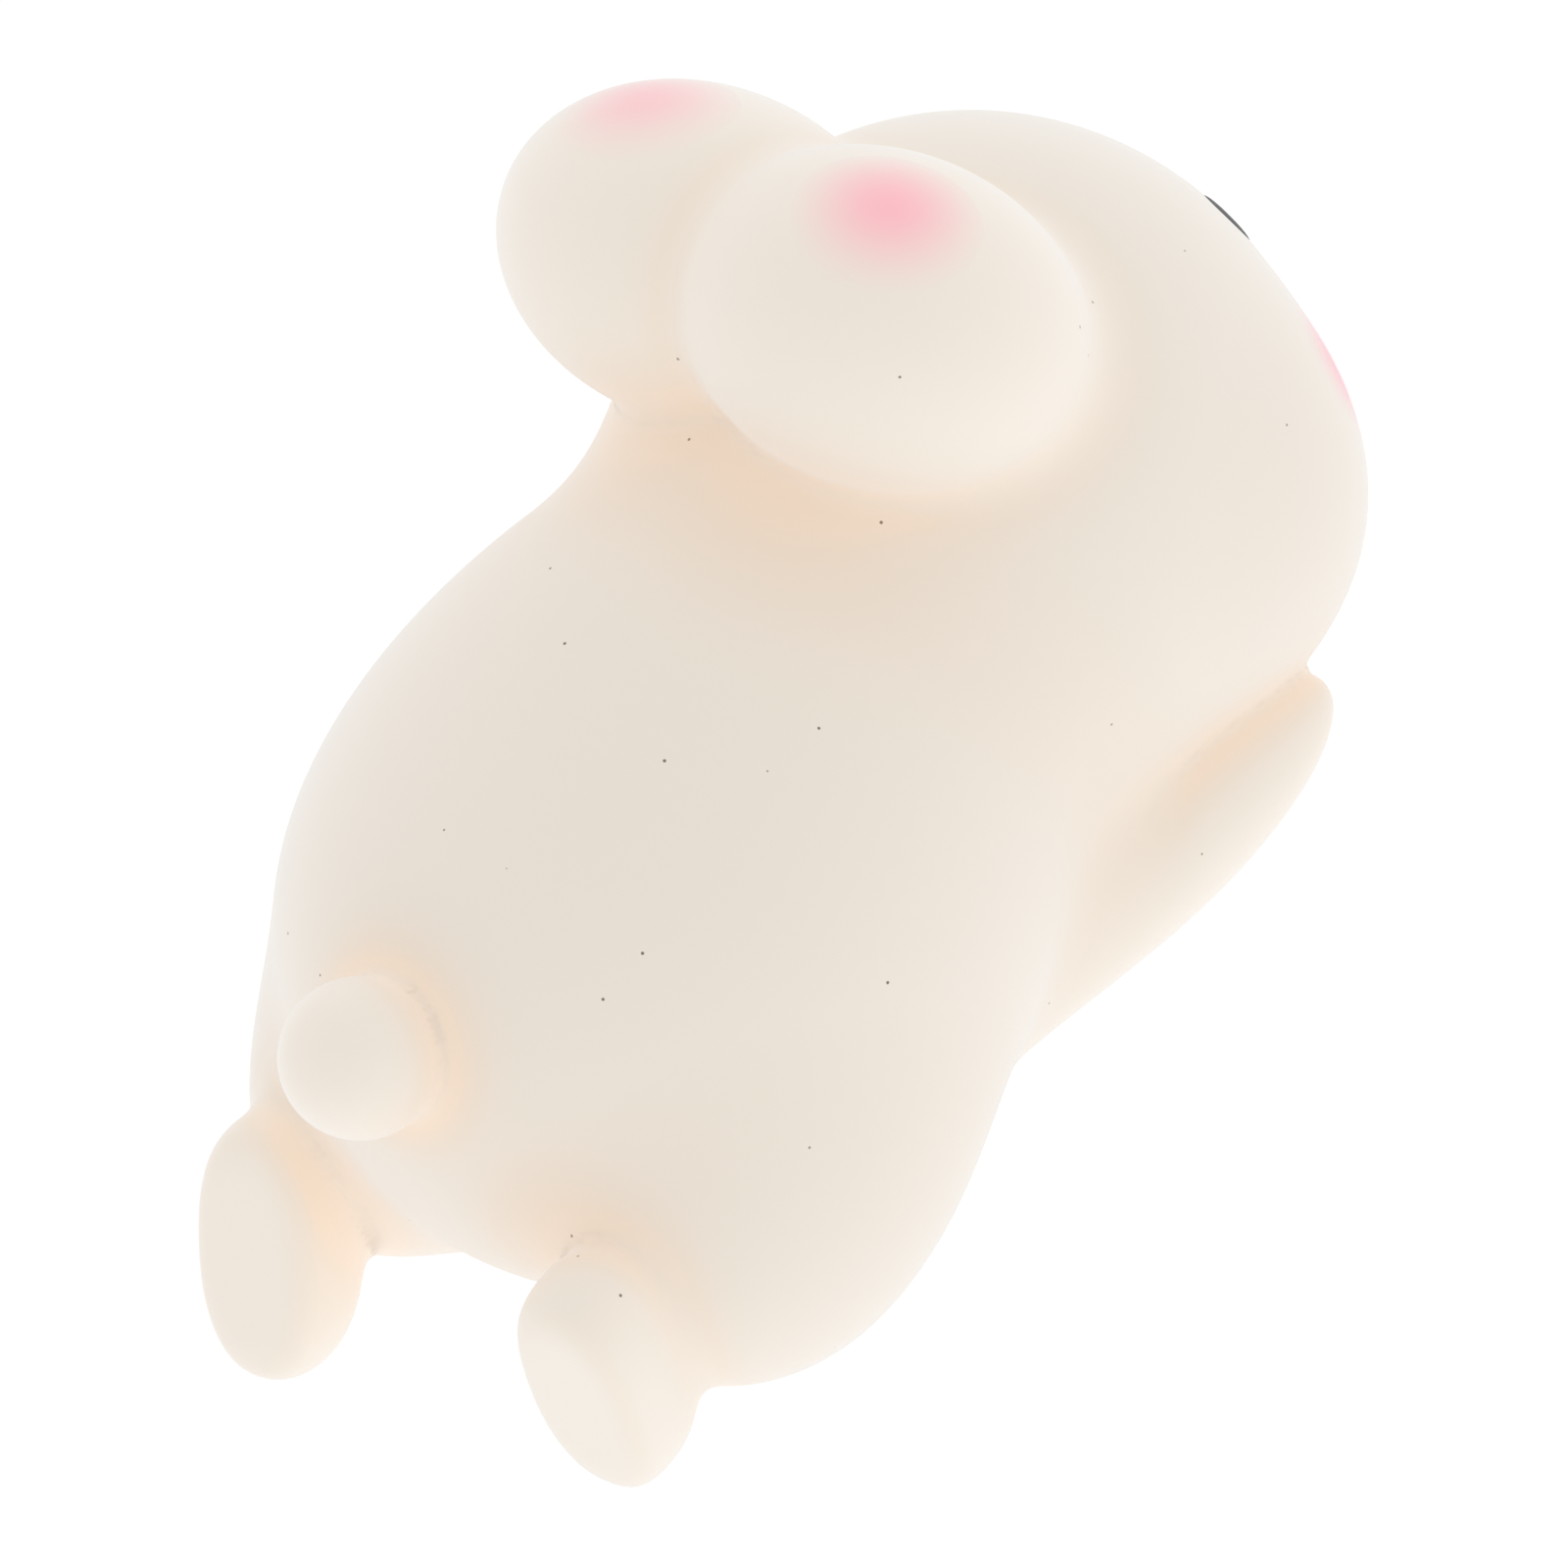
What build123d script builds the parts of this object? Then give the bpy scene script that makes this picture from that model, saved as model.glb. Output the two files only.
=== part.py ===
"""A soft, one-shot moulded squeeze toy: a small mouse lying on its belly.

The toy is a solid casting of soft rubber with a few sprayed and printed marks. Each lobe of the casting
is a solid of its own, because each one bends where it grows out of its neighbour: the head nods on the
neck, the ears fold, the arms spread, the feet flap and the tail wags. A ball at the root of each lobe
stands for the rubber that joins it to its neighbour, and the hollow round the lobe is the room that the
rubber needs as it bends.

Frame: millimetres, +Z up, nose towards -Y, the mouse's left side towards +X, origin at the centre of
the footprint on the resting plane.
"""

import os
from math import cos, radians, sin

from build123d import *

# Driving dimensions. A centre is (x, y, z) on the mouse's left side.
TORSO_CENTRE, TORSO_RADIUS = (0, 6.3, 10.5), 11.7
BACK_CENTRE, BACK_RADIUS = (0, 0.6, 12.2), 10.4
HAUNCH_CENTRE, HAUNCH_RADIUS = (6.1, 11.7, 7.3), 6.7
HEAD_CENTRE, HEAD_RADIUS = (0, -11.0, 11.35), 11.6
NECK_CENTRE, NECK_BALL, NECK_NOD, NECK_LIFT = (0, -2.4, 11.1), 9.9, 8, 5
EAR_CENTRE, EAR_RADIUS = (3.9, -8.7, 23.3), 6.2
EAR_ROOT_DEPTH, EAR_ROOT_BALL = 3.6, 4.8
ARM_CENTRE, ARM_RADIUS, ARM_HALF_LENGTH, ARM_YAW = (7.3, -4.5, 3.25), 2.6, 8.2, 10
ARM_ROOT, ARM_ROOT_BALL = (6.4, 1.0, 3.4), 2.9
FOOT_CENTRE, FOOT_RADIUS, FOOT_HALF_LENGTH = (7.1, 20.0, 7.2), 2.5, 4.2
FOOT_LEAN, FOOT_SPLAY, SOLE_DEPTH = 17, 11, 2.1
FOOT_ROOT, FOOT_ROOT_BALL = (6.7, 16.8, 7.2), 1.7
TAIL_CENTRE, TAIL_RADIUS = (0, 17.6, 16.7), 2.5
TAIL_ROOT, TAIL_ROOT_BALL = (0, 15.3, 15.2), 1.5

# Room for bending: how far each lobe's hollow stands off it, and the slip round a root ball.
EAR_ROOM, ARM_ROOM_IN_HEAD, ARM_ROOM_IN_TORSO, FOOT_ROOM, TAIL_ROOM = 0.9, 1.8, 0.8, 0.9, 0.7
SLIP = 0.12

# Printed and sprayed marks: how far round from the nose, how far up, in degrees, and width and height.
FILM = 0.15
EYE, BLUSH = (21, 12, 1.8, 2.3), (40, -8, 3.6, 3.6)
NOSE, MOUTH = (0, 3, 1.7, 1.3), (0, -5, 2.2, 0.8)
EAR_SPOT_LEAN, EAR_SPOT_TURN, EAR_SPOT_SIZE = 14, 13, 3.8

SIDES = {"left": 1, "right": -1}
SEAM_DOWN = (0, 90, 0)  # turns a ball's poles and seam away from the marks on it


def on_side(side, point):
    """The point on the left side, or its mirror image on the right."""
    return Vector(SIDES[side] * point[0], point[1], point[2])


def ball(centre, radius, mode=Mode.ADD):
    """A whole ball about a point."""
    with Locations(centre):
        Sphere(radius, mode=mode)


def capsule(centre, along, radius, half_length, mode=Mode.ADD):
    """A round-ended rod about a centre."""
    across = along.cross(Vector(1, 0, 0))
    with BuildSketch(Plane(origin=centre, x_dir=along, z_dir=across)) as half:
        SlotOverall(2 * half_length, 2 * radius)
        with Locations((0, -radius)):
            Rectangle(2 * half_length, 2 * radius, mode=Mode.SUBTRACT)
    revolve(half.sketch, axis=Axis(centre, along), mode=mode)


def rest_flat():
    """Cut the resting face: everything below the plane that the toy lies on."""
    Box(100, 100, 50, align=(Align.CENTER, Align.CENTER, Align.MAX), mode=Mode.SUBTRACT)


def one_half(side, gap=0.0):
    """Keep the half on one side of the middle plane, less a gap."""
    keep = Keep.TOP if side == "left" else Keep.BOTTOM
    split(bisect_by=Plane.YZ.offset(SIDES[side] * gap), keep=keep)


def arm(side, room=0.0, mode=Mode.ADD):
    """The arm lies along the chin, its paw further out than its shoulder."""
    yaw = radians(ARM_YAW)
    along = Vector(-SIDES[side] * sin(yaw), cos(yaw), 0)
    capsule(on_side(side, ARM_CENTRE), along, ARM_RADIUS + room, ARM_HALF_LENGTH + room, mode)


def foot(side, room=0.0, mode=Mode.ADD):
    """The foot stands upright, its toes leaning back and out."""
    lean, splay = radians(FOOT_LEAN), radians(FOOT_SPLAY)
    along = Vector(SIDES[side] * sin(lean) * sin(splay), -sin(lean) * cos(splay), cos(lean))
    capsule(on_side(side, FOOT_CENTRE), along, FOOT_RADIUS + room, FOOT_HALF_LENGTH + room, mode)


def sole_direction(side):
    """The way the flat sole faces: back, tipped down by the lean and turned out by the splay."""
    lean, splay = radians(FOOT_LEAN), radians(FOOT_SPLAY)
    return Vector(-SIDES[side] * cos(lean) * sin(splay), cos(lean) * cos(splay), sin(lean))


def mark(centre, radius, direction, width, height):
    """A round-ended film of ink on a ball, where the direction from its centre leaves it."""
    with BuildSketch(Plane(origin=centre, x_dir=direction.cross(Vector(0, 0, 1)), z_dir=direction)) as spot:
        if width == height:
            Circle(width / 2)
        else:
            SlotOverall(max(width, height), min(width, height), rotation=90 if height > width else 0)
    extrude(spot.sketch, amount=2 * radius)
    with Locations(Location(centre, SEAM_DOWN)):
        Sphere(radius + FILM, mode=Mode.INTERSECT)
        Sphere(radius, mode=Mode.SUBTRACT)


def face_direction(side, round_from_nose, up):
    """A direction from the head's centre, given by two angles in degrees."""
    across, rise = radians(SIDES[side] * round_from_nose), radians(up)
    return Vector(sin(across) * cos(rise), -cos(across) * cos(rise), sin(rise))


def ear_root(side):
    """The ear's hinge point, on the way from the ear's centre to the head's."""
    centre = on_side(side, EAR_CENTRE)
    return centre + (Vector(HEAD_CENTRE) - centre).normalized() * EAR_ROOT_DEPTH


def with_head_lifted(point):
    """Where a point on the head goes as the head lifts as far as it can."""
    return Vector(NECK_CENTRE) + (point - Vector(NECK_CENTRE)).rotate(Axis.X, -NECK_LIFT)


def finish(part, name):
    """Label a finished piece and write it out."""
    part.label = name
    export_step(part, f"parts/{name}.step")


os.makedirs("parts", exist_ok=True)
head_swing = (NECK_CENTRE[1] - HEAD_CENTRE[1]) * sin(radians(NECK_NOD))

# Torso: the rear ball of the toy and the rise of its back, hollowed for everything that moves in it.
with BuildPart() as torso:
    ball(TORSO_CENTRE, TORSO_RADIUS)
    ball(BACK_CENTRE, BACK_RADIUS)
    ball(HEAD_CENTRE, HEAD_RADIUS + head_swing + SLIP, Mode.SUBTRACT)
    ball(NECK_CENTRE, NECK_BALL + SLIP, Mode.SUBTRACT)
    for side in SIDES:
        ball(on_side(side, HAUNCH_CENTRE), HAUNCH_RADIUS, Mode.SUBTRACT)
        foot(side, FOOT_ROOM, Mode.SUBTRACT)
        arm(side, ARM_ROOM_IN_TORSO, Mode.SUBTRACT)
        ball(on_side(side, ARM_ROOT), ARM_ROOT_BALL + SLIP, Mode.SUBTRACT)
        ball(on_side(side, EAR_CENTRE), EAR_RADIUS + EAR_ROOM, Mode.SUBTRACT)
        ball(with_head_lifted(on_side(side, EAR_CENTRE)), EAR_RADIUS + EAR_ROOM, Mode.SUBTRACT)
    ball(TAIL_CENTRE, TAIL_RADIUS + TAIL_ROOM, Mode.SUBTRACT)
    ball(TAIL_ROOT, TAIL_ROOT_BALL + SLIP, Mode.SUBTRACT)
    rest_flat()
finish(torso.part, "torso")

# Haunches: the swell of each thigh, set into the torso.
for side in SIDES:
    with BuildPart() as haunch:
        ball(on_side(side, HAUNCH_CENTRE), HAUNCH_RADIUS)
        foot(side, FOOT_ROOM, Mode.SUBTRACT)
        ball(on_side(side, FOOT_ROOT), FOOT_ROOT_BALL + SLIP, Mode.SUBTRACT)
        ball(HEAD_CENTRE, HEAD_RADIUS + head_swing + SLIP, Mode.SUBTRACT)
        ball(NECK_CENTRE, NECK_BALL + SLIP, Mode.SUBTRACT)
        one_half(side)
    finish(haunch.part, f"haunch_{side}")

# Head: a ball with the neck behind it and a flat under the chin.
with BuildPart() as head:
    ball(HEAD_CENTRE, HEAD_RADIUS)
    ball(NECK_CENTRE, NECK_BALL)
    for side in SIDES:
        ball(on_side(side, EAR_CENTRE), EAR_RADIUS + EAR_ROOM, Mode.SUBTRACT)
        ball(ear_root(side), EAR_ROOT_BALL + SLIP, Mode.SUBTRACT)
        arm(side, ARM_ROOM_IN_HEAD, Mode.SUBTRACT)
        ball(on_side(side, ARM_ROOT), ARM_ROOT_BALL + ARM_ROOM_IN_HEAD, Mode.SUBTRACT)
    rest_flat()
finish(head.part, "head")

# Ears: thick rounded lobes that meet at the middle of the head.
for side in SIDES:
    with BuildPart() as ear:
        ball(on_side(side, EAR_CENTRE), EAR_RADIUS)
        ball(ear_root(side), EAR_ROOT_BALL)
        one_half(side, SLIP)
    finish(ear.part, f"ear_{side}")

# Arms: long lobes from the flank to beside the chin.
for side in SIDES:
    with BuildPart() as forelimb:
        arm(side)
        ball(on_side(side, ARM_ROOT), ARM_ROOT_BALL)
        rest_flat()
    finish(forelimb.part, f"arm_{side}")

# Feet: upright ovals behind the haunches, with flat soles that face back.
for side in SIDES:
    with BuildPart() as hindlimb:
        foot(side)
        ball(on_side(side, FOOT_ROOT), FOOT_ROOT_BALL)
        sole = Plane(on_side(side, FOOT_CENTRE), z_dir=sole_direction(side)).offset(SOLE_DEPTH)
        split(bisect_by=sole, keep=Keep.BOTTOM)
    finish(hindlimb.part, f"foot_{side}")

# Tail: a ball on the rump.
with BuildPart() as tail:
    ball(TAIL_CENTRE, TAIL_RADIUS)
    ball(TAIL_ROOT, TAIL_ROOT_BALL)
finish(tail.part, "tail")

# Face: two printed eyes, a sprayed blush on each cheek, a nose and a mouth.
for side in SIDES:
    for name, (round_from_nose, up, width, height) in {"eye": EYE, "cheek_blush": BLUSH}.items():
        with BuildPart() as print_on_face:
            mark(HEAD_CENTRE, HEAD_RADIUS, face_direction(side, round_from_nose, up), width, height)
        finish(print_on_face.part, f"{name}_{side}")
for name, (round_from_nose, up, width, height) in {"nose": NOSE, "mouth": MOUTH}.items():
    with BuildPart() as print_on_muzzle:
        mark(HEAD_CENTRE, HEAD_RADIUS, face_direction("left", round_from_nose, up), width, height)
    finish(print_on_muzzle.part, name)

# Ears' blush: a sprayed spot on the crown of each ear, leaning forward and out.
for side in SIDES:
    lean, turn = radians(EAR_SPOT_LEAN), radians(EAR_SPOT_TURN)
    crown = Vector(SIDES[side] * sin(lean), -sin(turn) * cos(lean), cos(turn) * cos(lean))
    with BuildPart() as ear_spray:
        mark(on_side(side, EAR_CENTRE), EAR_RADIUS, crown, EAR_SPOT_SIZE, EAR_SPOT_SIZE)
    finish(ear_spray.part, f"ear_blush_{side}")
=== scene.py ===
"""The looks of a soft moulded squeeze-toy mouse: warm white rubber with sprayed pink blushes.

The mouse is one soft solid, worked out from fields that are negative inside and positive outside: a
body, and lobes that join it with fillets. Each piece follows that one solid over its own part of the
surface and dips under its neighbour past the seam. Where it is the skin it takes its shading normals
from that solid too, so no seam shows. Shapes are in millimetres until a mesh is written, in the CAD
model's frame: nose to -Y, the mouse's left to +X.
"""

from math import cos, pi, radians, sin

import bpy
import numpy as np
from mathutils import Matrix, Vector


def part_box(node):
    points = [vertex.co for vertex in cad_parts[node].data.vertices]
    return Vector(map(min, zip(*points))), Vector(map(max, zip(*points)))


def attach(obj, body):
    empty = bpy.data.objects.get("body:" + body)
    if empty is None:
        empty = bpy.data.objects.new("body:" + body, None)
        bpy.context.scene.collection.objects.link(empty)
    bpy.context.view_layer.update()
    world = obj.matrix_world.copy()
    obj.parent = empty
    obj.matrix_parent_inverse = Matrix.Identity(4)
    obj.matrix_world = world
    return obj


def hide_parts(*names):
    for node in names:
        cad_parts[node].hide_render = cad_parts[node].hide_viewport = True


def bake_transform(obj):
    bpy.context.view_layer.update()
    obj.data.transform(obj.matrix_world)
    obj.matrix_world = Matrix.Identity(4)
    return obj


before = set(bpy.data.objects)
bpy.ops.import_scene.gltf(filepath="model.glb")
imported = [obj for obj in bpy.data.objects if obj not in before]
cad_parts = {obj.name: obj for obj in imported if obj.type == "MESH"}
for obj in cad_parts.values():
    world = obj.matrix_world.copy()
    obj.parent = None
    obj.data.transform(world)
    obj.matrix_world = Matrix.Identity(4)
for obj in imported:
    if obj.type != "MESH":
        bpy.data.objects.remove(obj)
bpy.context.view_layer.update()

MM = 0.001
SIDES = {"left": 1, "right": -1}
FINENESS = 1.0


# ---------------------------------------------------------------- places, from the CAD model

def middle(node, x=0, y=0, z=0):
    """The centre of a CAD node's box, moved by an offset, in millimetres."""
    low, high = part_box(node)
    return (np.array(low) + np.array(high)) / 2 / MM + (x, y, z)


def on_side(side, point):
    """A point on the left side, or its mirror image on the right."""
    return np.array([SIDES[side] * point[0], point[1], point[2]])


TORSO, TORSO_RADII = middle("torso", 0, -0.9, -0.9), (12.1, 12.1, 10.9)
BACK, BACK_RADII = middle("torso", 0, -6.0, 0.1), (9.7, 12.2, 10.3)
HAUNCH, HAUNCH_RADII = middle("haunch_left", 0.8, 0.13, -0.4), (4.9, 7.0, 5.8)
SHOULDER, SHOULDER_RADII = middle("arm_left", -1.9, 2.6, 2.6), (3.4, 5.4, 4.0)
HEAD, HEAD_RADII = middle("head", 0, -3.05, 0.5), (11.1, 11.3, 11.5)
CHEEK, CHEEK_RADIUS = middle("head", 5.0, -6.25, -2.1), 5.2
EAR, EAR_RADII, EAR_LEAN = middle("ear_left", -1.2, -0.1, 0.83), (6.4, 5.2, 6.45), 27
ARM, ARM_RADII, ARM_YAW = middle("arm_left", 0.31, 0.16, 0.3), (2.95, 8.35, 2.45), 13.5
FOOT, FOOT_RADII, SOLE_DEPTH = middle("foot_left", 0, 0.98, 0), (2.35, 2.75, 4.4), 1.65
FOOT_TURN = {"left": (31, -5, 7), "right": (5, 9, -4)}
TAIL, TAIL_RADIUS = middle("tail", 0, 0.85, 0.35), 2.5

# How wide the fillets are, in millimetres, between the parts of the body.
TRUNK_FILLET, HAUNCH_FILLET, SHOULDER_FILLET, BELLY_ROUNDING = 3.0, 2.6, 2.0, 0.5


# ---------------------------------------------------------------- the soft solid, as fields

def turned(x=0, y=0, z=0):
    """A rotation matrix: about x, then y, then z, in degrees."""
    about_x, about_y, about_z = (
        Matrix.Rotation(radians(angle), 3, axis) for angle, axis in ((x, "X"), (y, "Y"), (z, "Z"))
    )
    return np.array(about_z @ about_y @ about_x)


def ellipsoid(points, centre, radii, turn=None, power=2.0):
    """About the distance to an ellipsoid, which a power above 2 makes boxier."""
    local = points - centre
    if turn is not None:
        local = local @ turn
    share = np.abs(local / np.asarray(radii, float))
    reach = np.maximum((share**power).sum(axis=-1), 1e-12) ** (1 / power)
    steepness = np.linalg.norm(share ** (power - 1) / radii, axis=-1) * reach ** (1 - power)
    return (reach - 1) / steepness


def join(a, b, fillet):
    """Both solids, with a fillet where they meet."""
    share = np.clip(0.5 + 0.5 * (b - a) / fillet, 0, 1)
    return b + (a - b) * share - fillet * share * (1 - share)


def cut(a, b, rounding):
    """Where both solids are, with a rounded edge."""
    return -join(-a, -b, rounding)


def ease(t):
    """A smooth step from 0 to 1."""
    t = np.clip(t, 0, 1)
    return t * t * (3 - 2 * t)


def body(points):
    """The torso with its back, haunches and shoulders, and the head with its cheeks, flat underneath."""
    solid = ellipsoid(points, TORSO, TORSO_RADII)
    solid = join(solid, ellipsoid(points, BACK, BACK_RADII), TRUNK_FILLET)
    head = ellipsoid(points, HEAD, HEAD_RADII)
    for side in SIDES:
        haunch = ellipsoid(points, on_side(side, HAUNCH), HAUNCH_RADII)
        shoulder = ellipsoid(points, on_side(side, SHOULDER), SHOULDER_RADII)
        cheek = ellipsoid(points, on_side(side, CHEEK), [CHEEK_RADIUS] * 3)
        solid = join(join(solid, haunch, HAUNCH_FILLET), shoulder, SHOULDER_FILLET)
        head = join(head, cheek, TRUNK_FILLET)
    solid = join(solid, head, TRUNK_FILLET)
    return cut(solid, -points[..., 2], BELLY_ROUNDING)


def ear(side):
    """A thick round lobe that leans back."""
    centre, turn = on_side(side, EAR), turned(x=-EAR_LEAN)
    outward = np.array([SIDES[side] * 0.75, -0.55, -0.35])

    def solid(points):
        return ellipsoid(points, centre, EAR_RADII, turn)

    def fillet(points):
        """Wide where the ear runs out onto the cheek, tight where it stands free over the neck."""
        return 0.8 + 1.0 * ease(((points - centre) @ outward) / EAR_RADII[0] - 0.1)

    return solid, fillet, centre


def arm(side):
    """A long lobe beside the chin."""
    centre, turn = on_side(side, ARM), turned(z=SIDES[side] * ARM_YAW)

    def solid(points):
        return ellipsoid(points, centre, ARM_RADII, turn)

    def fillet(points):
        """The arm runs smoothly out of the flank and lies against the cheek in a tight crease."""
        return 0.5 + 1.4 * ease((points[..., 1] + 7.5) / 5)

    return solid, fillet, centre


def foot(side):
    """An upright egg with a flattish sole behind."""
    lean, roll, splay = FOOT_TURN[side]
    centre, turn = on_side(side, FOOT), turned(x=lean, y=SIDES[side] * roll, z=SIDES[side] * splay)

    def solid(points):
        sole = (points - centre) @ turn[:, 1] - SOLE_DEPTH
        return cut(ellipsoid(points, centre, FOOT_RADII, turn, power=2.3), sole, 0.7)

    def fillet(points):
        return 1.0

    return solid, fillet, centre


def tail():
    """A ball on the rump."""
    def solid(points):
        return ellipsoid(points, TAIL, [TAIL_RADIUS] * 3)

    def fillet(points):
        return 0.6

    return solid, fillet, TAIL


PAIRS = {"ear": ear, "arm": arm, "foot": foot}
lobes = {f"{kind}_{side}": make(side) for kind, make in PAIRS.items() for side in SIDES}
lobes["tail"] = tail()

LIFT = 0.008  # how far a lobe lies over the body
OVERLAP = 0.3  # how far the body runs on under a lobe before it dips
DIP = 2.0  # past there, mm of depth for each square mm


def parts_and_whole(points):
    """The fields of the separate parts, and of the one solid that they make."""
    parts = {"body": body(points)}
    solid = parts["body"]
    for name, (lobe, fillet, _) in lobes.items():
        parts[name] = lobe(points)
        solid = join(solid, parts[name], fillet(points))
    return parts, solid


def whole(points):
    """The mouse as one solid."""
    return parts_and_whole(points)[1]


def piece(name):
    """One part of the whole, which dips under its neighbours past the seam."""
    lift, overlap = (0, OVERLAP) if name == "body" else (LIFT, 0)

    def field(points):
        parts, solid = parts_and_whole(points)
        own = parts.pop(name)
        others = np.minimum.reduce(list(parts.values()))
        past_seam = np.maximum(own - others - overlap, 0)
        return np.minimum(own, solid - lift + DIP * past_seam**2)

    return field


def normals(field, points):
    """Which way a field's surface faces."""
    step = 0.02
    slope = np.stack([field(points + axis) - field(points - axis) for axis in np.eye(3) * step], axis=-1)
    return slope / np.maximum(np.linalg.norm(slope, axis=-1, keepdims=True), 1e-9)


SKIN_DEPTH, DEPTH_FADE = 0.02, 0.2  # where a piece stops being the skin, in mm under it, and how softly


def skin_normals(field, points):
    """A piece's normals: the whole mouse's, and its own where it runs on deeper under another piece."""
    under = ease((np.abs(whole(points)) - SKIN_DEPTH) / DEPTH_FADE)[:, None]
    facing = (1 - under) * normals(whole, points) + under * normals(field, points)
    return facing / np.maximum(np.linalg.norm(facing, axis=1, keepdims=True), 1e-9)


CREASE_REACHES = (0.7, 1.5, 3.0, 6.0)  # how far out to look for another surface, in mm
DEEP_CREASE = 0.45  # the share of that room that is filled in the deepest crease
THICKNESS_RANGE = 5  # mm over which the body's skin passes into a lobe's


# The skin material paints shade into the creases from this measure.
def hollow(points, facing):
    """How closed in the surface is: 0 on an open slope, 1 deep in a crease."""
    clear = sum(np.clip(whole(points + facing * reach) / reach, 0, 1) for reach in CREASE_REACHES)
    return np.minimum((1 - clear / len(CREASE_REACHES)) / DEEP_CREASE, 1)


def slightness(points):
    """How far a point belongs to a lobe rather than to the thick body: 0 to 1."""
    parts, _ = parts_and_whole(points)
    thick = parts.pop("body")
    thin = np.minimum.reduce(list(parts.values()))
    return ease((thick - thin) / THICKNESS_RANGE + 0.5)


STRIDES, HALVINGS = 26, 14  # the search along a ray: even strides, then halving the last one


def cast(field, starts, directions, safe, reach):
    """Where rays that are inside a solid until safe first leave it, before reach."""
    stride = (reach - safe) / STRIDES
    near = np.full(starts.shape[:-1], float(safe))
    out = np.zeros(near.shape, bool)
    for step in range(1, STRIDES + 1):
        distance = safe + step * stride
        out |= field(starts + directions * distance) > 0
        near = np.where(out, near, distance)
    far = near + stride
    for _ in range(HALVINGS):
        halfway = (near + far) / 2
        inside = field(starts + directions * halfway[..., None]) < 0
        near = np.where(inside, halfway, near)
        far = np.where(inside, far, halfway)
    return starts + directions * near[..., None]


# ---------------------------------------------------------------- meshes

def linked(mesh):
    """An object for a mesh, in the scene."""
    made = bpy.data.objects.new(mesh.name, mesh)
    bpy.context.scene.collection.objects.link(made)
    return made


def closed_mesh(name, field, rings, first, last):
    """A closed mesh from rings of points between two poles, in millimetres, shaded as its field is."""
    count, around = rings.shape[:2]
    points = np.vstack([first, rings.reshape(-1, 3), last])
    here = np.arange(around)
    there = (here + 1) % around
    faces = [(0, 1 + a, 1 + b) for a, b in zip(here, there)]
    for ring in range(count - 1):
        upper, lower = 1 + ring * around, 1 + (ring + 1) * around
        faces += [(upper + b, upper + a, lower + a, lower + b) for a, b in zip(here, there)]
    bottom = 1 + (count - 1) * around
    faces += [(len(points) - 1, bottom + b, bottom + a) for a, b in zip(here, there)]
    mesh = bpy.data.meshes.new(name)
    mesh.from_pydata((points * MM).tolist(), [], faces)
    mesh.update()
    mesh.shade_smooth()
    facing = skin_normals(field, points)
    mesh.normals_split_custom_set_from_vertices(facing.tolist())
    for measure, values in (("hollow", hollow(points, facing)), ("slightness", slightness(points))):
        attribute = mesh.attributes.new(measure, "FLOAT", "POINT")
        attribute.data.foreach_set("value", values.astype(np.float32))
    return linked(mesh)


def spread(pole, polar, spin):
    """Directions at polar angles from a pole and spins round it."""
    pole = Vector(pole).normalized()
    side = pole.orthogonal().normalized()
    axes = np.array([pole, side, pole.cross(side)])
    aside = np.sin(polar)
    return np.stack([np.cos(polar), aside * np.cos(spin), aside * np.sin(spin)], axis=-1) @ axes


LOBE_CAST, BODY_CAST = (1, 14), (5, 18)  # how far along a ray is surely inside, and surely outside, in mm


def lobe_mesh(name, pole, rings, around):
    """One lobe: rays from its centre, with the mesh's poles along a direction."""
    centre = lobes[name][2]
    rings, around = int(rings * FINENESS), int(around * FINENESS)
    polar = np.linspace(0, pi, rings + 2)
    spin = np.linspace(0, 2 * pi, around, endpoint=False)
    directions = spread(pole, *np.meshgrid(polar, spin, indexing="ij"))
    points = cast(piece(name), centre + np.zeros_like(directions), directions, *LOBE_CAST)
    return closed_mesh(name, piece(name), points[1:-1], points[0, 0], points[-1, 0])


def body_mesh(name, rings, around):
    """The torso and head: rays out of a line from the head's centre to the torso's."""
    rings, around = int(rings * FINENESS), int(around * FINENESS)
    line = TORSO - HEAD
    length = np.linalg.norm(line)
    line_share = length / (length + pi * HEAD_RADII[0])
    cap = (1 - line_share) / 2
    travel = np.linspace(0, 1, rings + 2)
    polar = pi / 2 * (np.clip(travel / cap, 0, 1) + np.clip((travel - 1 + cap) / cap, 0, 1))
    along = np.clip((travel - cap) / line_share, 0, 1)
    spin = np.linspace(0, 2 * pi, around, endpoint=False)
    directions = spread(-line, *np.meshgrid(polar, spin, indexing="ij"))
    starts = HEAD + line * along[:, None, None] + np.zeros_like(directions)
    points = cast(piece("body"), starts, directions, *BODY_CAST)
    return closed_mesh(name, piece("body"), points[1:-1], points[0, 0], points[-1, 0])


# ---------------------------------------------------------------- materials

def material(name):
    """A new node material and its shader."""
    made = bpy.data.materials.new(name)
    made.use_nodes = True
    return made, made.node_tree.nodes["Principled BSDF"]


def powdered(shader):
    """The matte, dry finish of powdered rubber."""
    shader.inputs["Roughness"].default_value = 0.6
    shader.inputs["Sheen Weight"].default_value = 0.9
    shader.inputs["Sheen Roughness"].default_value = 0.5


def worked_out(tree, operation, value, constant):
    """A maths node that combines a value with a constant."""
    maths = tree.nodes.new("ShaderNodeMath")
    maths.operation = operation
    maths.inputs[1].default_value = constant
    tree.links.new(value, maths.inputs[0])
    return maths


# Painted glow: emission that stands in for light coming through thin lobes and round deep creases.
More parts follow.
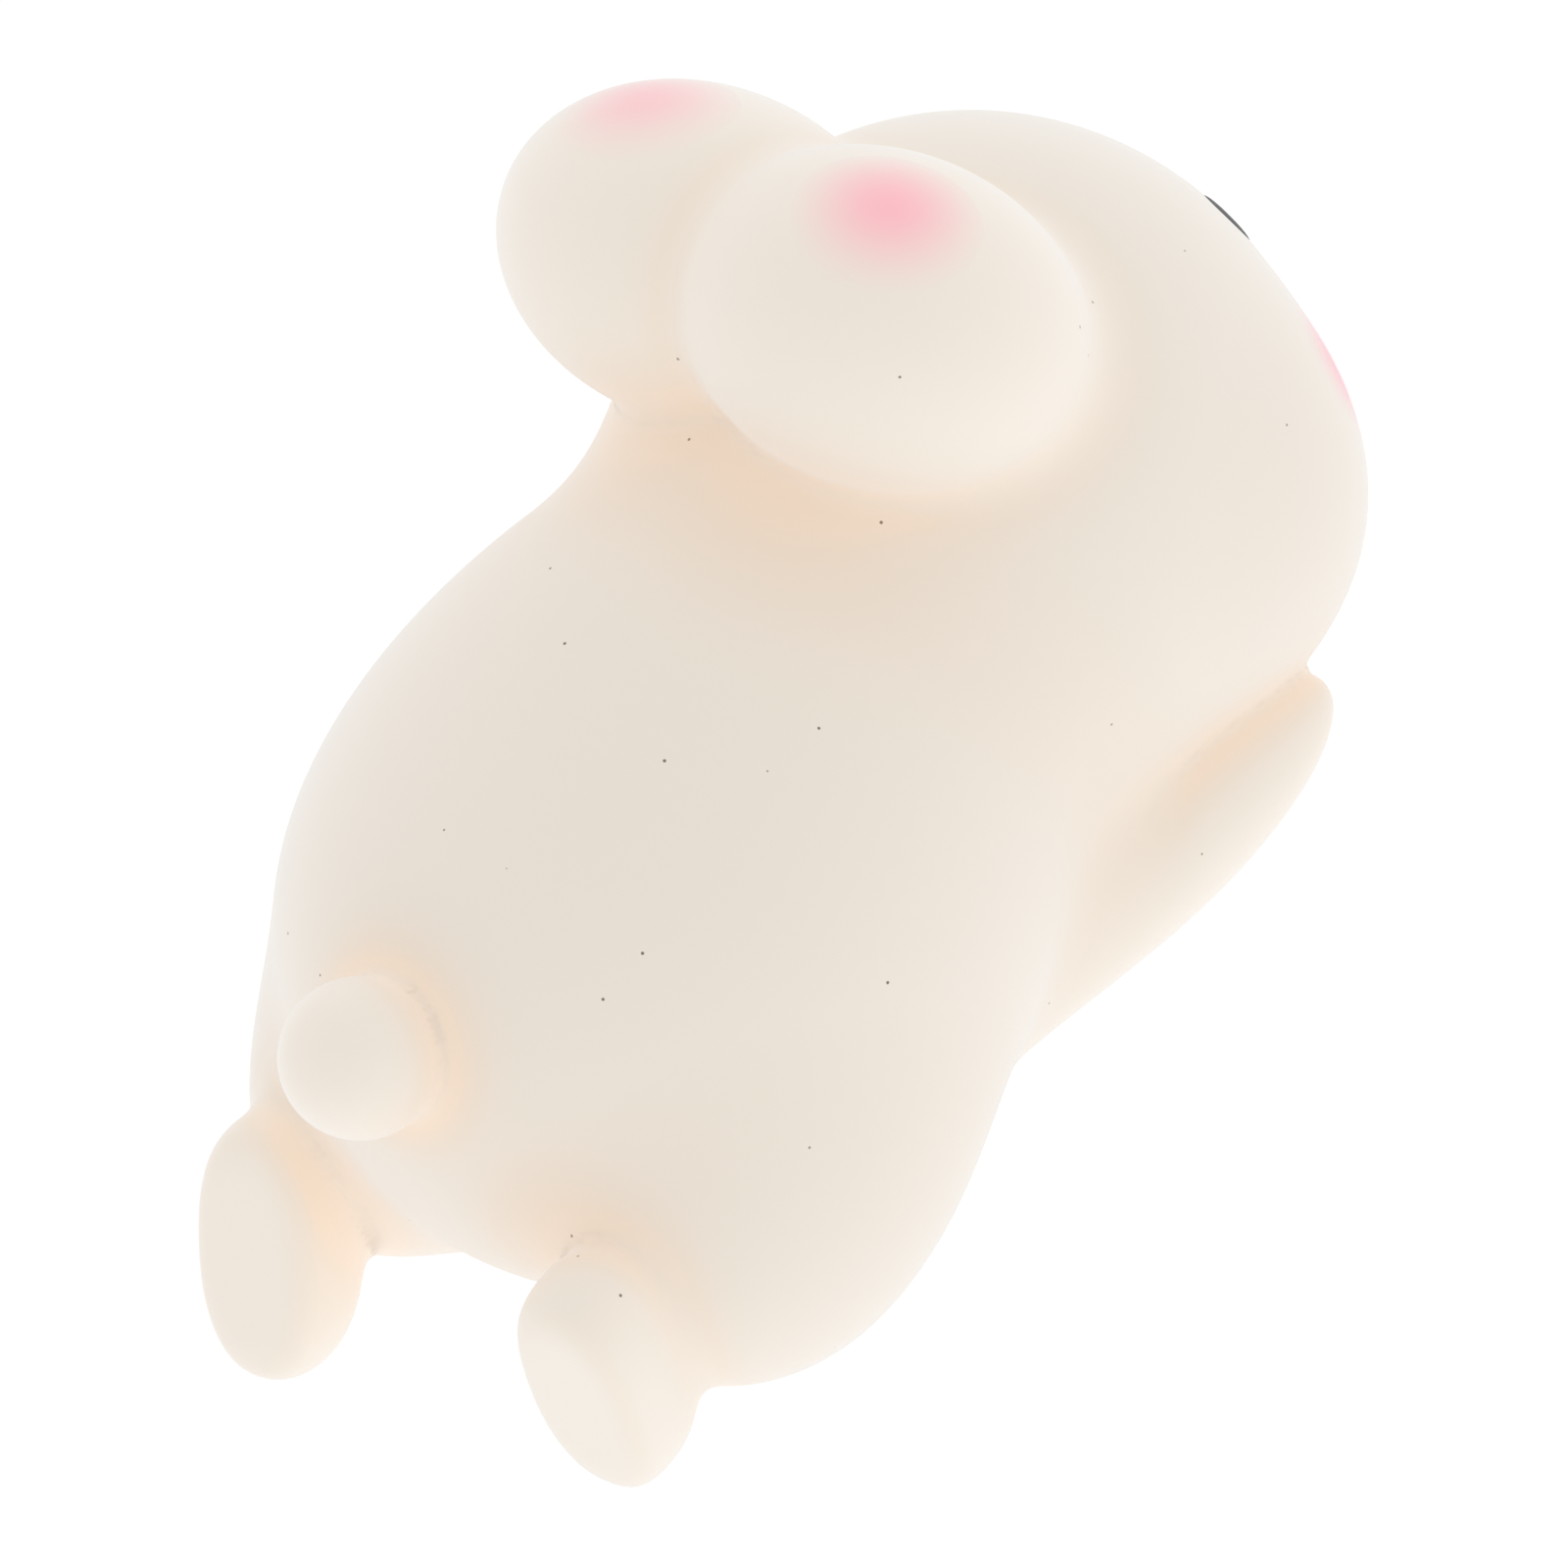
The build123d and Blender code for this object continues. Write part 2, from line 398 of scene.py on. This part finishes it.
LOBE_GLOW, CREASE_GLOW = 0.038, 0.055  # light that comes through thin lobes, and round deep creases
SPECK_SCALE = 520  # cells per metre, so that a speck can lie every 2 mm
SPECK_EDGE, SPECK_CORE = 0.033, 0.022  # as shares of a cell
POWDER_SCALE, POWDER_HEIGHT = 1800, 0.02  # per metre, and in mm


def skin_material():
    """Powdered soft rubber: warm white and matte, with painted shade, darker and warmer, in the creases,
    a painted glow through thin lobes and round deep creases, and a few specks of dust.
    """
    made, shader = material("warm_white_rubber")
    tree = made.node_tree
    powdered(shader)

    crease = tree.nodes.new("ShaderNodeAttribute")
    crease.attribute_name = "hollow"
    # Painted shade: the colour turns darker and warmer where the hollow measure says the surface is deep
    # in a crease.
    painted_crease_shade = tree.nodes.new("ShaderNodeMix")
    painted_crease_shade.data_type = "RGBA"
    painted_crease_shade.inputs["A"].default_value = (0.955, 0.88, 0.785, 1)
    painted_crease_shade.inputs["B"].default_value = (0.94, 0.79, 0.65, 1)
    tree.links.new(crease.outputs["Fac"], painted_crease_shade.inputs["Factor"])

    # Painted glow: an emission, brighter in thin lobes and in deep creases, stands in for light coming
    # through the rubber.
    thinness = tree.nodes.new("ShaderNodeAttribute")
    thinness.attribute_name = "slightness"
    painted_lobe_glow = worked_out(tree, "MULTIPLY", thinness.outputs["Fac"], LOBE_GLOW)
    deep = worked_out(tree, "POWER", crease.outputs["Fac"], 2)
    painted_glow = worked_out(tree, "MULTIPLY_ADD", deep.outputs["Value"], CREASE_GLOW)
    tree.links.new(painted_lobe_glow.outputs["Value"], painted_glow.inputs[2])
    shader.inputs["Emission Color"].default_value = (1.0, 0.92, 0.82, 1)
    tree.links.new(painted_glow.outputs["Value"], shader.inputs["Emission Strength"])

    dust = tree.nodes.new("ShaderNodeTexVoronoi")
    dust.inputs["Scale"].default_value = SPECK_SCALE
    place = tree.nodes.new("ShaderNodeTexCoord")
    tree.links.new(place.outputs["Object"], dust.inputs["Vector"])
    speck = tree.nodes.new("ShaderNodeMapRange")
    speck.inputs["From Min"].default_value = SPECK_EDGE
    speck.inputs["From Max"].default_value = SPECK_CORE
    tree.links.new(dust.outputs["Distance"], speck.inputs["Value"])
    specked = tree.nodes.new("ShaderNodeMix")
    specked.data_type = "RGBA"
    specked.inputs["B"].default_value = (0.20, 0.14, 0.09, 1)
    tree.links.new(speck.outputs["Result"], specked.inputs["Factor"])
    tree.links.new(painted_crease_shade.outputs["Result"], specked.inputs["A"])
    tree.links.new(specked.outputs["Result"], shader.inputs["Base Color"])

    powder = tree.nodes.new("ShaderNodeTexNoise")
    powder.inputs["Scale"].default_value = POWDER_SCALE
    powder.inputs["Detail"].default_value = 4
    tree.links.new(place.outputs["Object"], powder.inputs["Vector"])
    grain = tree.nodes.new("ShaderNodeBump")
    grain.inputs["Strength"].default_value = 0.35
    grain.inputs["Distance"].default_value = POWDER_HEIGHT * MM
    tree.links.new(powder.outputs["Fac"], grain.inputs["Height"])
    tree.links.new(grain.outputs["Normal"], shader.inputs["Normal"])
    return made


def ink_material(name, colour, roughness):
    """Pad-printed ink."""
    made, shader = material(name)
    shader.inputs["Base Color"].default_value = (*colour, 1)
    shader.inputs["Roughness"].default_value = roughness
    return made


def spray_material(name, centre, aim, radius, strength):
    """Airbrushed pink that fades out round a line, the gun's aim, through a centre in millimetres, lifted
    by a painted glow.
    """
    made, shader = material(name)
    tree = made.node_tree
    powdered(shader)
    shader.inputs["Base Color"].default_value = (1.0, 0.09, 0.42, 1)
    # The pink's emission is a painted glow, for light coming through the rubber under the spray.
    shader.inputs["Emission Color"].default_value = (1.0, 0.1, 0.2, 1)
    shader.inputs["Emission Strength"].default_value = 0.27

    place = tree.nodes.new("ShaderNodeTexCoord")
    aside = tree.nodes.new("ShaderNodeVectorMath")
    aside.operation = "SUBTRACT"
    aside.inputs[1].default_value = Vector(centre) * MM
    tree.links.new(place.outputs["Object"], aside.inputs[0])
    across = tree.nodes.new("ShaderNodeVectorMath")
    across.operation = "CROSS_PRODUCT"
    across.inputs[1].default_value = Vector(aim).normalized()
    tree.links.new(aside.outputs["Vector"], across.inputs[0])
    distance = tree.nodes.new("ShaderNodeVectorMath")
    distance.operation = "LENGTH"
    tree.links.new(across.outputs["Vector"], distance.inputs[0])
    fade = tree.nodes.new("ShaderNodeMapRange")
    fade.interpolation_type = "SMOOTHSTEP"
    fade.inputs["From Min"].default_value = 0
    fade.inputs["From Max"].default_value = radius * MM
    fade.inputs["To Min"].default_value = strength
    fade.inputs["To Max"].default_value = 0
    tree.links.new(distance.outputs["Value"], fade.inputs["Value"])
    tree.links.new(fade.outputs["Result"], shader.inputs["Alpha"])
    return made


skin_look = skin_material()


# ---------------------------------------------------------------- pieces

BODY_MESH, LOBE_MESH, MARK_MESH = (300, 310), (130, 150), (14, 48)  # rings, and points round each ring

skin = body_mesh("soft_body", *BODY_MESH)
skin.data.materials.append(skin_look)
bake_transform(skin)
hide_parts("torso", "haunch_left", "haunch_right", "head")

LOBE_POLES = {"ear": (0, 0.3, -1), "arm": (0, 1, 0), "foot": (0, -1, 0), "tail": (0, -1, -0.5)}


def bend_with(made):
    """Bakes the transform of a piece of a lobe, or of a mark on a lobe."""
    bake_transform(made)


for name in lobes:
    kind = name.partition("_")[0]
    lobe = lobe_mesh(name, LOBE_POLES[kind], *LOBE_MESH)
    lobe.name = f"soft_{name}"
    lobe.data.materials.append(skin_look)
    bend_with(lobe)
    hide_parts(name)


# ---------------------------------------------------------------- printed and sprayed marks

def on_face(side, round_from_nose, up):
    """A direction out of the head, from two angles in degrees."""
    across, rise = radians(SIDES[side] * round_from_nose), radians(up)
    return np.array([sin(across) * cos(rise), -cos(across) * cos(rise), sin(rise)])


MARK_CAST = (4, 18)  # how far along a ray is surely inside, and surely outside, in mm
MARK_ROOT = -0.04  # where a mark's rim lies, in mm above the skin


def mark_mesh(name, centre, direction, half_width, half_height, proud):
    """A thin lens of ink on the mouse, where a direction from a centre leaves it, and its middle."""
    rings, around = MARK_MESH
    facing = Vector(direction).normalized()
    across = Vector((0, 0, 1)).cross(facing).normalized()
    upward = facing.cross(across)
    peak = cast(whole, np.array([centre]), np.array([facing]), *MARK_CAST)[0]
    share = np.sin(np.linspace(0, pi / 2, rings + 1))
    spin = np.linspace(0, 2 * pi, around, endpoint=False)
    share, spin = np.meshgrid(share, spin, indexing="ij")
    offset = (share * np.cos(spin) * half_width)[..., None] * np.array(across)
    offset = offset + (share * np.sin(spin) * half_height)[..., None] * np.array(upward)
    rays = peak + offset - centre
    rays /= np.linalg.norm(rays, axis=-1, keepdims=True)
    skin_points = cast(whole, centre + np.zeros_like(rays), rays, *MARK_CAST)
    top = skin_points + rays * (MARK_ROOT + (proud - MARK_ROOT) * np.sqrt(1 - share**4))[..., None]
    under = skin_points + rays * (3 * MARK_ROOT)
    rows = np.concatenate([top[1:], under[-2:0:-1]])
    return closed_mesh(name, whole, rows, top[0, 0], under[0, 0]), peak


EYE, EYE_HALF = (19, 11), (0.9, 1.15)
CHEEK_SPOT, CHEEK_PATCH, CHEEK_SPRAY, CHEEK_STRENGTH = (40, -8), 2.8, 2.55, 0.28
NOSE, NOSE_HALF = (0, 3), (0.85, 0.65)
MOUTH, MOUTH_HALF = (0, -5), (1.0, 0.22)
EAR_SPOTS = {"left": (0.105, -0.256, 0.965), "right": (0.40, -0.168, 0.90)}
EAR_STRENGTHS = {"left": 0.19, "right": 0.26}
EAR_PATCH, EAR_SPRAY = 3.9, 3.4
SPRAY_PROUD, INK_PROUD = 0.035, 0.06

eye_ink = ink_material("black_ink", (0.012, 0.012, 0.014), 0.5)
nose_ink = ink_material("pink_ink", (0.86, 0.30, 0.34), 0.45)

for side in SIDES:
    eye, _ = mark_mesh(f"printed_eye_{side}", HEAD, on_face(side, *EYE), *EYE_HALF, INK_PROUD)
    eye.data.materials.append(eye_ink)
    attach(eye, "head")
    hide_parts(f"eye_{side}")
    cheek = on_face(side, *CHEEK_SPOT)
    blush, peak = mark_mesh(f"sprayed_cheek_{side}", HEAD, cheek, CHEEK_PATCH, CHEEK_PATCH, SPRAY_PROUD)
    cheek_spray = spray_material(f"cheek_spray_{side}", peak, cheek, CHEEK_SPRAY, CHEEK_STRENGTH)
    blush.data.materials.append(cheek_spray)
    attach(blush, "head")
    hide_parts(f"cheek_blush_{side}")
    crown = on_side(side, EAR_SPOTS[side])
    ear_centre = on_side(side, EAR)
    spot, peak = mark_mesh(f"sprayed_ear_{side}", ear_centre, crown, EAR_PATCH, EAR_PATCH, SPRAY_PROUD)
    ear_spray = spray_material(f"ear_spray_{side}", peak, crown, EAR_SPRAY, EAR_STRENGTHS[side])
    spot.data.materials.append(ear_spray)
    bend_with(spot)
    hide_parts(f"ear_blush_{side}")

for name, (place, half, look, slot) in {
    "nose": (NOSE, NOSE_HALF, nose_ink, "nose_ink"),
    "mouth": (MOUTH, MOUTH_HALF, eye_ink, "eye_ink"),
}.items():
    print_on_face, _ = mark_mesh(f"printed_{name}", HEAD, on_face("left", *place), *half, INK_PROUD)
    print_on_face.data.materials.append(look)
    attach(print_on_face, "head")
    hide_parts(name)


# ---------------------------------------------------------------- floor, light and camera

def stage_floor():
    """A plain pale floor, 4 m across."""
    mesh = bpy.data.meshes.new("floor")
    half = 2.0
    corners = [(-half, -half, 0), (half, -half, 0), (half, half, 0), (-half, half, 0)]
    mesh.from_pydata(corners, [], [(0, 1, 2, 3)])
    floor = linked(mesh)
    made, shader = material("pale_floor")
    shader.inputs["Base Color"].default_value = (0.2, 0.2, 0.2, 1)
    shader.inputs["Roughness"].default_value = 0.9
    shader.inputs["Emission Color"].default_value = (1, 1, 1, 1)
    shader.inputs["Emission Strength"].default_value = 0.86
    mesh.materials.append(made)


def studio_light():
    """Even white light from all round, and a broad soft light from above the mouse's front left."""
    world = bpy.data.worlds.new("studio")
    bpy.context.scene.world = world
    world.use_nodes = True
    background = world.node_tree.nodes["Background"]
    background.inputs["Color"].default_value = (1, 0.992, 0.985, 1)
    background.inputs["Strength"].default_value = 0.78
    data = bpy.data.lights.new("soft_rim", "SUN")
    data.energy = 0.32
    data.angle = radians(90)
    rim = bpy.data.objects.new("soft_rim", data)
    rim.rotation_euler = Vector((0.6, -0.5, 0.6)).to_track_quat("Z", "Y").to_euler()
    bpy.context.scene.collection.objects.link(rim)


VIEW_AZIMUTH, VIEW_ELEVATION, VIEW_ROLL = 242.6, 42.7, 32.0
VIEW_DISTANCE, VIEW_WIDTH = 1200.0, 48.0
AIM = Vector(middle("torso", 0, -1.1, -0.8))
AIM_SHIFT = 3.69, 3.81


def main_camera():
    """A long lens above and behind the mouse's right shoulder, rolled so that the nose points up."""
    azimuth, elevation, roll = radians(VIEW_AZIMUTH), radians(VIEW_ELEVATION), radians(VIEW_ROLL)
    back = Vector((sin(azimuth) * cos(elevation), -cos(azimuth) * cos(elevation), sin(elevation)))
    level = Vector((0, 0, 1)).cross(back).normalized()
    upright = back.cross(level)
    right = cos(roll) * level - sin(roll) * upright
    up = sin(roll) * level + cos(roll) * upright
    aim = AIM + AIM_SHIFT[0] * right + AIM_SHIFT[1] * up
    data = bpy.data.cameras.new("camera")
    data.sensor_width = 36
    data.lens = data.sensor_width * VIEW_DISTANCE / VIEW_WIDTH
    camera = bpy.data.objects.new("camera", data)
    bpy.context.scene.collection.objects.link(camera)
    axes = Matrix((right, up, back)).transposed().to_4x4()
    camera.matrix_world = Matrix.Translation((aim + back * VIEW_DISTANCE) * MM) @ axes
    bpy.context.scene.camera = camera


stage_floor()
studio_light()
main_camera()
bpy.context.scene.view_settings.view_transform = "Standard"
